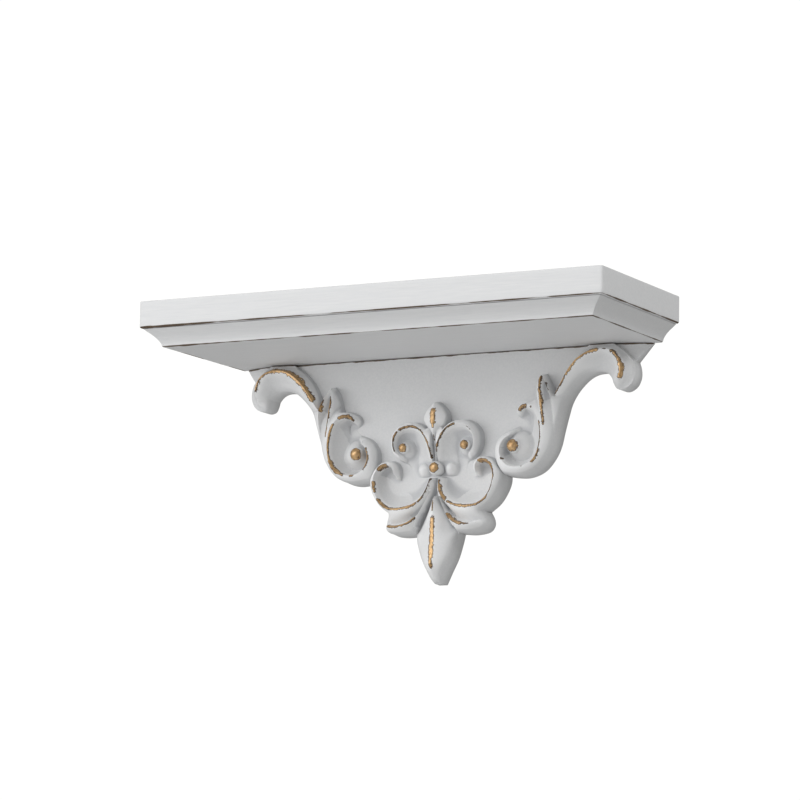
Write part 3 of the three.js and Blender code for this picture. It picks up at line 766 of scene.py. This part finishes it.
def moulded_board(name, box, profile, arris, band, corner, material):
    """A board whose front and ends follow `profile`, rows of [setback, drop], with a square back.

    It is rubbed in a band about the drop `arris`, wider towards its left end.
    """
    (low_x, low_y, _), (high_x, _, high_z) = (np.array(c) / MM for c in box)
    rows = []
    for setback, drop in profile:
        left, right, front = low_x + setback, high_x - setback, low_y + setback
        radius = max(corner - setback, 0.3)
        turn = np.linspace(0, math.pi / 2, 5)
        side = np.linspace(0, front + radius, 34, endpoint=False)
        path = [(left, y) for y in side]
        path += [(left + radius * (1 - math.cos(a)), front + radius * (1 - math.sin(a)))
                 for a in turn]
        span = np.linspace(left + radius, right - radius, 92)[1:-1]
        path += [(x, front) for x in span]
        path += [(right - radius * (1 - math.sin(a)), front + radius * (1 - math.cos(a)))
                 for a in turn]
        path += [(right, y) for y in side[::-1]]
        rows.append([(x, y, high_z - drop) for x, y in path])
    corners = np.array(rows)
    down, along = corners.shape[:2]
    index = np.arange(down * along).reshape(down, along)
    faces = [
        (index[i, j], index[i + 1, j], index[i + 1, j + 1], index[i, j + 1])
        for i in range(down - 1) for j in range(along - 1)]
    faces.append(tuple(index[0]))
    faces.append(tuple(index[-1][::-1]))
    faces += [(index[i + 1, 0], index[i, 0], index[i, -1], index[i + 1, -1])
              for i in range(down - 1)]
    faces = [tuple(int(i) for i in face) for face in faces]
    corners = corners.reshape(-1, 3)
    widening = 1 + 1.2 * np.exp((low_x - corners[:, 0]) / 30)
    worn = np.clip(1 - np.abs(high_z - arris - corners[:, 2]) / (band * widening), 0, 1)
    worn[-along:] = 0
    thing = add_mesh(name, corners, faces, worn=worn, golden=worn * 0 - 1)
    return finish_piece(thing, material, "painted_board", name)


def rounded(corner, radius, start, end, steps=5):
    """Profile points round a quarter circle of `radius`, centred `corner`, between two angles."""
    angle = np.radians(np.linspace(start, end, steps))
    return [(corner[0] + radius * math.cos(a), corner[1] + radius * math.sin(a)) for a in angle]


def top_board(material):
    height = (BOARD[1][2] - BOARD[0][2]) / MM
    upper, lower = 1.0, 1.7
    profile = rounded((upper, upper), upper, 270, 180)
    profile += [(0, drop) for drop in np.linspace(upper, height - lower, 8)[1:-1]]
    profile += rounded((lower, height - lower), lower, 180, 90, 7)
    profile += [(lower + 0.4, height), (lower + 4, height)]
    moulded_board("top_board", BOARD, profile, height - 0.35 * lower, 0.9, 1.6, material)


def cove_board(material):
    height = (COVE[1][2] - COVE[0][2]) / MM
    throat, lip = 9.7, 1.6
    hollow = smooth_line([(0, 0), (2.1, 1.7), (5.2, 4.3), (7.3, 6.5), (9, 8.9),
                          (throat, height - lip)], 1)
    profile = [(setback, drop) for setback, drop, _ in hollow[:-1]]
    profile += rounded((throat + lip, height - lip), lip, 180, 90, 7)
    profile += [(throat + lip + 0.4, height), (throat + lip + 4, height)]
    moulded_board("cove_board", COVE, profile, height - 0.3 * lip, 0.7, 0.6, material)


# ---------------------------------------------------------------- materials


class Finish:
    """A node material being put together."""

    def __init__(self, name):
        self.material = bpy.data.materials.new(name)
        self.material.use_nodes = True
        self.tree = self.material.node_tree
        self.shader = self.tree.nodes["Principled BSDF"]

    def node(self, kind, *inputs, **settings):
        """A node with its inputs in order: numbers are set, sockets are linked, None is left."""
        node = self.tree.nodes.new(kind)
        for key, value in settings.items():
            setattr(node, key, value)
        for socket, value in zip(node.inputs, inputs):
            if isinstance(value, bpy.types.NodeSocket):
                self.tree.links.new(value, socket)
            elif value is not None:
                socket.default_value = value
        return node

    def maths(self, operation, *inputs):
        return self.node("ShaderNodeMath", *inputs, operation=operation).outputs[0]

    def noise(self, scale, detail=3, rough=0.55, stretch=(1, 1, 1)):
        """Noise whose grain is about 1/scale metres, drawn out along axes of small stretch."""
        where = self.node("ShaderNodeTexCoord").outputs["Object"]
        if stretch != (1, 1, 1):
            where = self.node("ShaderNodeMapping", where, None, None, stretch).outputs[0]
        node = self.node("ShaderNodeTexNoise", where, None, scale, detail, rough)
        return node.outputs[0]

    def range(self, value, low, high, to_low=0.0, to_high=1.0):
        return self.node("ShaderNodeMapRange", value, low, high, to_low, to_high).outputs[0]

    def mix(self, factor, first, second):
        node = self.node("ShaderNodeMix", data_type="RGBA")
        for socket, value in zip((node.inputs[0], node.inputs[6], node.inputs[7]),
                                 (factor, first, second)):
            if isinstance(value, bpy.types.NodeSocket):
                self.tree.links.new(value, socket)
            else:
                socket.default_value = value
        return node.outputs[2]

    def connect(self, **sockets):
        for name, value in sockets.items():
            socket = self.shader.inputs[name.replace("_", " ")]
            if isinstance(value, bpy.types.NodeSocket):
                self.tree.links.new(value, socket)
            else:
                socket.default_value = value

    def bump(self, height, strength, distance):
        node = self.node("ShaderNodeBump", strength, distance, None, height)
        self.connect(Normal=node.outputs[0])


# The paint also takes painted shade in the carvings' creases and painted highlights on their crests,
# from the relief each carved piece carries as an attribute.
def rubbed_and_shaded_paint(name, stroke, tear, patch, gaps):
    """Off-white paint with brush strokes, rubbed through to dark stain and gold where worn.

    `tear` is how ragged the paint's edge is, `patch` how fine the unrubbed gaps are and `gaps`
    how many there are.
    """
    finish = Finish(name)
    attribute = finish.node("ShaderNodeAttribute", attribute_name="worn")
    golden = finish.node("ShaderNodeAttribute", attribute_name="golden").outputs["Fac"]
    raised = finish.node("ShaderNodeAttribute", attribute_name="raised").outputs["Fac"]
    ragged = finish.noise(500, 4, 0.7)
    patchy = finish.noise(patch, 2, 0.5)
    chips = finish.maths("MULTIPLY", finish.range(ragged, 0.3, 0.7, -tear, tear),
                         finish.range(golden, -1, 0))
    breaks = finish.maths("MULTIPLY", finish.range(patchy, 0.36, 0.6, -gaps, 0.04),
                          finish.range(golden, 0.5, 1, 1, 0))
    worn = finish.maths("ADD", finish.maths("ADD", attribute.outputs["Fac"], chips), breaks)
    stain = finish.range(worn, 0.5, 0.56)
    leaf = finish.range(finish.maths("MULTIPLY_ADD", golden, 0.35, worn), 0.93, 0.99)
    brushed = finish.noise(700, 4, 0.6, stroke)
    cloudy = finish.noise(30, 2, 0.5)
    paint = finish.mix(finish.range(brushed, 0.35, 0.65), (0.735, 0.74, 0.745, 1),
                       (0.79, 0.79, 0.79, 1))
    paint = finish.mix(finish.range(cloudy, 0.3, 0.7, 0, 0.5), paint, (0.765, 0.77, 0.775, 1))
    # Painted shade: grey mixed into the paint where the carving lies below its smoothed surroundings,
    # in creases and at the feet of ornaments. Painted highlight: white mixed in on crests that stand
    # above them.
    paint = finish.mix(finish.range(raised, -0.2, -0.8, 0, 0.5), paint, (0.45, 0.46, 0.48, 1))
    paint = finish.mix(finish.range(raised, 0.1, 0.9, 0, 0.8), paint, (0.93, 0.93, 0.93, 1))
    dark = finish.mix(ragged, (0.045, 0.03, 0.02, 1), (0.16, 0.1, 0.055, 1))
    gold = finish.mix(finish.range(ragged, 0.35, 0.65), (0.42, 0.24, 0.1, 1), (0.74, 0.5, 0.26, 1))
    colour = finish.mix(leaf, finish.mix(stain, paint, dark), gold)
    finish.connect(Base_Color=colour)
    sheen = finish.range(brushed, 0.3, 0.7, 0.42, 0.56)
    finish.connect(Roughness=finish.maths("MULTIPLY_ADD", leaf, -0.12, sheen))
    finish.connect(Metallic=finish.maths("MULTIPLY", leaf, 0.6))
    relief = finish.maths("SUBTRACT", finish.maths("MULTIPLY", brushed, 0.4), stain)
    finish.bump(relief, 0.25, 0.00025)
    return finish.material


def bare_metal(name, colour, scale, roughness):
    finish = Finish(name)
    grain = finish.noise(scale, 4, 0.6, (1, 1, 0.15))
    darker = tuple(0.75 * c for c in colour)
    finish.connect(Base_Color=finish.mix(grain, (*darker, 1), (*colour, 1)), Metallic=1.0)
    finish.connect(Roughness=finish.range(grain, 0.3, 0.7, roughness, roughness + 0.15))
    finish.bump(grain, 0.15, 0.0001)
    return finish.material


def beech(name):
    finish = Finish(name)
    grain = finish.noise(500, 4, 0.6, (1, 1, 0.08))
    finish.connect(Base_Color=finish.mix(grain, (0.5, 0.32, 0.17, 1), (0.72, 0.53, 0.33, 1)))
    finish.connect(Roughness=finish.range(grain, 0.3, 0.7, 0.6, 0.8))
    finish.bump(grain, 0.3, 0.0002)
    return finish.material


def hardware():
    """Fasteners and hangers keep their CAD shapes and take a finish by kind."""
    finishes = {
        "plate": (bare_metal("satin_brass", (0.72, 0.52, 0.24), 900, 0.28), "plate_brass"),
        "screw": (bare_metal("bright_zinc", (0.66, 0.68, 0.7), 1200, 0.25), "screw_zinc"),
        "dowel": (beech("bare_beech"), "dowel_beech"),
    }
    for name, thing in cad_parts.items():
        kind = next((k for k in ("screw", "dowel", "plate") if k in name), None)
        if kind:
            material, slot = finishes[kind]
            thing.data.materials.clear()
            thing.data.materials.append(material)


# ---------------------------------------------------------------- studio


def camera():
    data = bpy.data.cameras.new("camera")
    data.lens, data.sensor_width = 172.97, 36
    data.clip_start, data.clip_end = 0.1, 50
    thing = bpy.data.objects.new("camera", data)
    right = Vector((0.88448, 0.46636, 0.01680))
    up = Vector((0.05589, -0.14162, 0.98835))
    back = right.cross(up)
    turn = Matrix((right, up, back)).transposed().to_4x4()
    thing.matrix_world = Matrix.Translation((1.2402, -2.4083, -0.4180)) @ turn
    bpy.context.scene.collection.objects.link(thing)
    bpy.context.scene.camera = thing


def soft_light(name, at, size, power, aim=(0, -0.05, 0)):
    data = bpy.data.lights.new(name, "AREA")
    data.size, data.energy = size, power
    data.color = (0.985, 0.99, 1)
    thing = bpy.data.objects.new(name, data)
    thing.location = at
    thing.rotation_euler = (Vector(aim) - Vector(at)).to_track_quat("-Z", "Y").to_euler()
    bpy.context.scene.collection.objects.link(thing)


def white_room(ambient):
    """A plain white backdrop that lights the shelf more softly than it looks."""
    world = bpy.data.worlds.new("studio")
    world.use_nodes = True
    tree = world.node_tree
    backdrop = tree.nodes["Background"]
    backdrop.inputs[0].default_value = (1, 1, 0.985, 1)
    seen = tree.nodes.new("ShaderNodeLightPath").outputs["Is Camera Ray"]
    strength = tree.nodes.new("ShaderNodeMapRange")
    strength.inputs[3].default_value = ambient
    strength.inputs[4].default_value = 1.05
    tree.links.new(seen, strength.inputs[0])
    tree.links.new(strength.outputs[0], backdrop.inputs[1])
    bpy.context.scene.world = world


def floor():
    finish = Finish("pale_floor")
    finish.connect(Base_Color=finish.mix(finish.noise(3), (0.8, 0.8, 0.8, 1), (0.84, 0.84, 0.84, 1)),
                   Roughness=0.9)
    z, half = -1300, 3000
    thing = add_mesh("floor", [(-half, -half, z), (half, -half, z), (half, half, z), (-half, half, z)],
                     [(0, 1, 2, 3)])
    thing.data.materials.append(finish.material)


board_paint = rubbed_and_shaded_paint("rubbed_board_paint", (0.06, 1, 1), tear=0.05, patch=45, gaps=0.34)
# The carvings' paint, with its painted shade in creases and painted highlights on crests.
carving_paint_and_shade = rubbed_and_shaded_paint("rubbed_carving_paint", (1, 1, 1), tear=0.22, patch=90, gaps=0.25)
top_board(board_paint)
cove_board(board_paint)
bracket_panel(carving_paint_and_shade)
carved_pieces(carving_paint_and_shade)
hardware()
camera()
white_room(0.3)
soft_light("key", (-0.77, -2.12, 1.3), 1.4, 19)
soft_light("left_fill", (-1.99, -1.67, 0), 1.4, 13.5)
soft_light("front_fill", (-0.89, -2.44, 0), 1.4, 9)
soft_light("right_rim", (2.12, -0.77, 1.75), 1.4, 32)
floor()

bpy.context.scene.view_settings.view_transform = "Standard"
